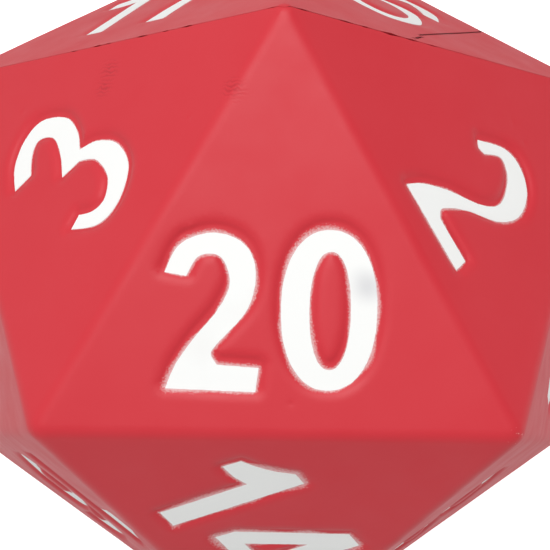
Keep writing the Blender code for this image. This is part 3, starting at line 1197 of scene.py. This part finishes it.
def paint_film(number, loops, seed):
    """A film that follows the floor of the pocket."""
    loops = [ragged(loop, seed + i) for i, loop in enumerate(loops)]
    inner = PAINT_LATTICE[outline_distance(PAINT_LATTICE, loops) < -PAINT_MARGIN]
    edge_points = [point for loop in loops for point in loop]
    edges, first = [], 0
    for loop in loops:
        edges += [(first + i, first + (i + 1) % len(loop)) for i in range(len(loop))]
        first += len(loop)
    points = edge_points + [Vector(p) for p in inner]
    found, _, triangles, *_ = delaunay_2d_cdt(points, edges, [], 0, 1e-7, False)
    flat = np.array(found)
    middles = flat[np.array(triangles)].mean(axis=1)
    inside = outline_distance(middles, loops) < 0
    placed = face_frame(FACES[number])
    ground = body_points(placed, flat, sunk_by(number, flat))
    out = np.array(placed.to_3x3().col[2])
    bm = bmesh.new()
    low = [bm.verts.new(p) for p in ground + out * PAINT_CLEARANCE]
    high = [bm.verts.new(p) for p in ground + out * (PAINT_CLEARANCE + PAINT_THICKNESS)]
    for keep, (a, b, c) in zip(inside, triangles):
        if keep:
            bm.faces.new((high[a], high[b], high[c])).smooth = True
            bm.faces.new((low[c], low[b], low[a]))
    bm.verts.index_update()
    count = len(flat)
    rims = [edge for edge in bm.edges if edge.is_boundary and edge.verts[0].index >= count]
    for edge in rims:
        edge.smooth = False
        a, b = (vert.index - count for vert in edge.verts)
        bm.faces.new((high[a], high[b], low[b], low[a]))
    loose = [vert for vert in bm.verts if not vert.link_faces]
    bmesh.ops.delete(bm, geom=loose, context="VERTS")
    bmesh.ops.recalc_face_normals(bm, faces=bm.faces)
    return bm


SMUDGE = between("ABC", (0.353, 0.150, 0.497))
SMUDGE_GREY = "#CFCFD3"


def sprayed_white_paint():
    """Matt white stencil paint.

    To the eye: bright and flat, with faint thin places and a fine dry grain."""
    made = bpy.data.materials.new("sprayed white paint")
    made.use_nodes = True
    tree = made.node_tree
    shader = tree.nodes["Principled BSDF"]
    place = node(tree, "ShaderNodeTexCoord").outputs["Object"]
    per_metre = 1 / MM
    cloud = node(tree, "ShaderNodeTexNoise", vector=place, scale=per_metre / 16, detail=2.0)
    thin = node(
        tree, "ShaderNodeMapRange", i0=cloud.outputs["Fac"], i1=0.58, i2=0.78, i3=0.0, i4=1.0
    )
    colour = mixed(tree, thin.outputs[0], linear("#FBFCFA"), linear("#F6F6F4"))
    away = node(tree, "ShaderNodeVectorMath", {"operation": "DISTANCE"}, i0=place, i1=SMUDGE)
    ragged_away = node(
        tree, "ShaderNodeMath", {"operation": "MULTIPLY_ADD"}, i0=cloud.outputs["Fac"], i1=6 * MM
    )
    tree.links.new(away.outputs["Value"], ragged_away.inputs[2])
    smudge = node(
        tree,
        "ShaderNodeMapRange",
        {"interpolation_type": "SMOOTHSTEP"},
        i0=ragged_away.outputs[0],
        i1=3 * MM,
        i2=7.5 * MM,
        i3=0.7,
        i4=0.0,
    )
    colour = mixed(tree, smudge.outputs[0], colour, linear(SMUDGE_GREY))
    tree.links.new(colour, shader.inputs["Base Color"])
    shader.inputs["Roughness"].default_value = 0.55
    dust = node(tree, "ShaderNodeTexNoise", vector=place, scale=per_metre / 0.3, detail=2.0)
    grain = node(
        tree, "ShaderNodeBump", distance=0.02 * MM, strength=0.3, height=dust.outputs["Fac"]
    )
    tree.links.new(grain.outputs[0], shader.inputs["Normal"])
    return made


paint_look = sprayed_white_paint()
for number in FACES:
    for order, (cad_node, loops) in enumerate(MARKS[number]):
        film = add_piece(f"paint_{cad_node}", paint_film(number, loops, 10 * number + order))
        film.data.materials.append(paint_look)
        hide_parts(cad_node)
        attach(film, "root")


# The foam core.
# Inside its skin the polyurethane is an open light foam of cells under a millimetre across, dyed
# the same red all through. It fills the skin, so it keeps its CAD shape.

CELL_SIZE = 0.8 * MM


def cellular_foam():
    """Open cellular polyurethane foam: matt, paler than the skin, with painted shade darkening its
    cell mouths.
    """
    made = bpy.data.materials.new("cellular polyurethane foam")
    made.use_nodes = True
    tree = made.node_tree
    shader = tree.nodes["Principled BSDF"]
    place = node(tree, "ShaderNodeTexCoord").outputs["Object"]
    cells = node(tree, "ShaderNodeTexVoronoi", vector=place, scale=1 / CELL_SIZE)
    cell_mouth_and_shade = node(
        tree, "ShaderNodeMapRange", i0=cells.outputs["Distance"], i1=0.1, i2=0.5, i3=1.0, i4=0.0
    )
    # Painted shade: the mouths of the cells are mixed to the darker red
    colour = mixed(tree, cell_mouth_and_shade.outputs[0], linear("#E2716F"), linear("#A8333A"))
    tree.links.new(colour, shader.inputs["Base Color"])
    shader.inputs["Roughness"].default_value = 0.95
    pits = node(
        tree,
        "ShaderNodeBump",
        {"invert": True},
        distance=0.3 * MM,
        strength=0.8,
        height=cell_mouth_and_shade.outputs[0],
    )
    tree.links.new(pits.outputs[0], shader.inputs["Normal"])
    return made


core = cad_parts["foam_core"]
core.data.materials.clear()
core.data.materials.append(cellular_foam())


# The floor, the light and the camera.
# A white sweep lit softly from above, with the camera close over the "20".

FLOOR_SIZE = 3.0
FLOOR_HEIGHT = -0.05 * MM  # just clear of the resting face
floor_mesh = bpy.data.meshes.new("floor")
half = FLOOR_SIZE / 2
floor_mesh.from_pydata(
    [(x * half, y * half, FLOOR_HEIGHT) for x, y in ((-1, -1), (1, -1), (1, 1), (-1, 1))],
    [],
    [(0, 1, 2, 3)],
)
floor = bpy.data.objects.new("floor", floor_mesh)
bpy.context.scene.collection.objects.link(floor)
floor_look = bpy.data.materials.new("white sweep")
floor_look.use_nodes = True
floor_shader = floor_look.node_tree.nodes["Principled BSDF"]
floor_shader.inputs["Base Color"].default_value = (0.9, 0.9, 0.9, 1)
floor_shader.inputs["Roughness"].default_value = 0.8
floor_shader.inputs["Emission Color"].default_value = (1, 1, 1, 1)
floor_shader.inputs["Emission Strength"].default_value = 0.7
floor_mesh.materials.append(floor_look)
floor.visible_diffuse = False  # so that the white floor doesn't outshine the studio light
floor.visible_glossy = False
floor.visible_shadow = False


def soft_light(name, direction, distance, size, power):
    """A square soft light aimed at the die's centre."""
    lamp = bpy.data.lights.new(name, "AREA")
    lamp.size = size
    lamp.energy = power
    holder = bpy.data.objects.new(name, lamp)
    bpy.context.scene.collection.objects.link(holder)
    way = Vector(direction).normalized()
    holder.location = CENTRE + way * distance
    holder.rotation_euler = (-way).to_track_quat("-Z", "Y").to_euler()
    return holder


soft_light("key", direction=(-0.05, 0.42, 0.91), distance=1.1, size=0.8, power=9.4)
fill = soft_light("right_fill", direction=(0.9, -0.1, -0.4), distance=1.1, size=0.8, power=3.9)
fill.visible_glossy = False
# The room is brighter low on the left than high on the right
BRIGHT_SIDE = (-0.52, -0.35, -0.78)
world = bpy.data.worlds.new("studio")
world.use_nodes = True
room = world.node_tree
way = node(room, "ShaderNodeTexCoord").outputs["Generated"]
facing = node(room, "ShaderNodeVectorMath", {"operation": "DOT_PRODUCT"}, i0=way, i1=BRIGHT_SIDE)
glow = node(room, "ShaderNodeMapRange", i0=facing.outputs["Value"], i1=-1.0, i2=1.0, i3=0.22, i4=0.81)
room.links.new(glow.outputs[0], room.nodes["Background"].inputs["Strength"])
room.nodes["Background"].inputs["Color"].default_value = (1, 1, 1, 1)
bpy.context.scene.world = world
bpy.context.scene.view_settings.view_transform = "Standard"

CAMERA_TILT = Vector((0.0591, 0.0255, -0.0166))  # the die's turn before the camera, in radians
CAMERA_PLACE = Vector((-0.07635, 0.18877, 3.29757))  # in edges, from the die's centre
camera_data = bpy.data.cameras.new("camera")
camera_data.lens = 83.0
camera_data.sensor_width = 36.0
camera_data.clip_start = 0.01
camera = bpy.data.objects.new("camera", camera_data)
bpy.context.scene.collection.objects.link(camera)
turned = Matrix.Rotation(CAMERA_TILT.length, 4, -CAMERA_TILT.normalized())
camera.matrix_world = Matrix.Translation(CENTRE + CAMERA_PLACE * EDGE) @ turned
bpy.context.scene.camera = camera

bpy.context.view_layer.update()
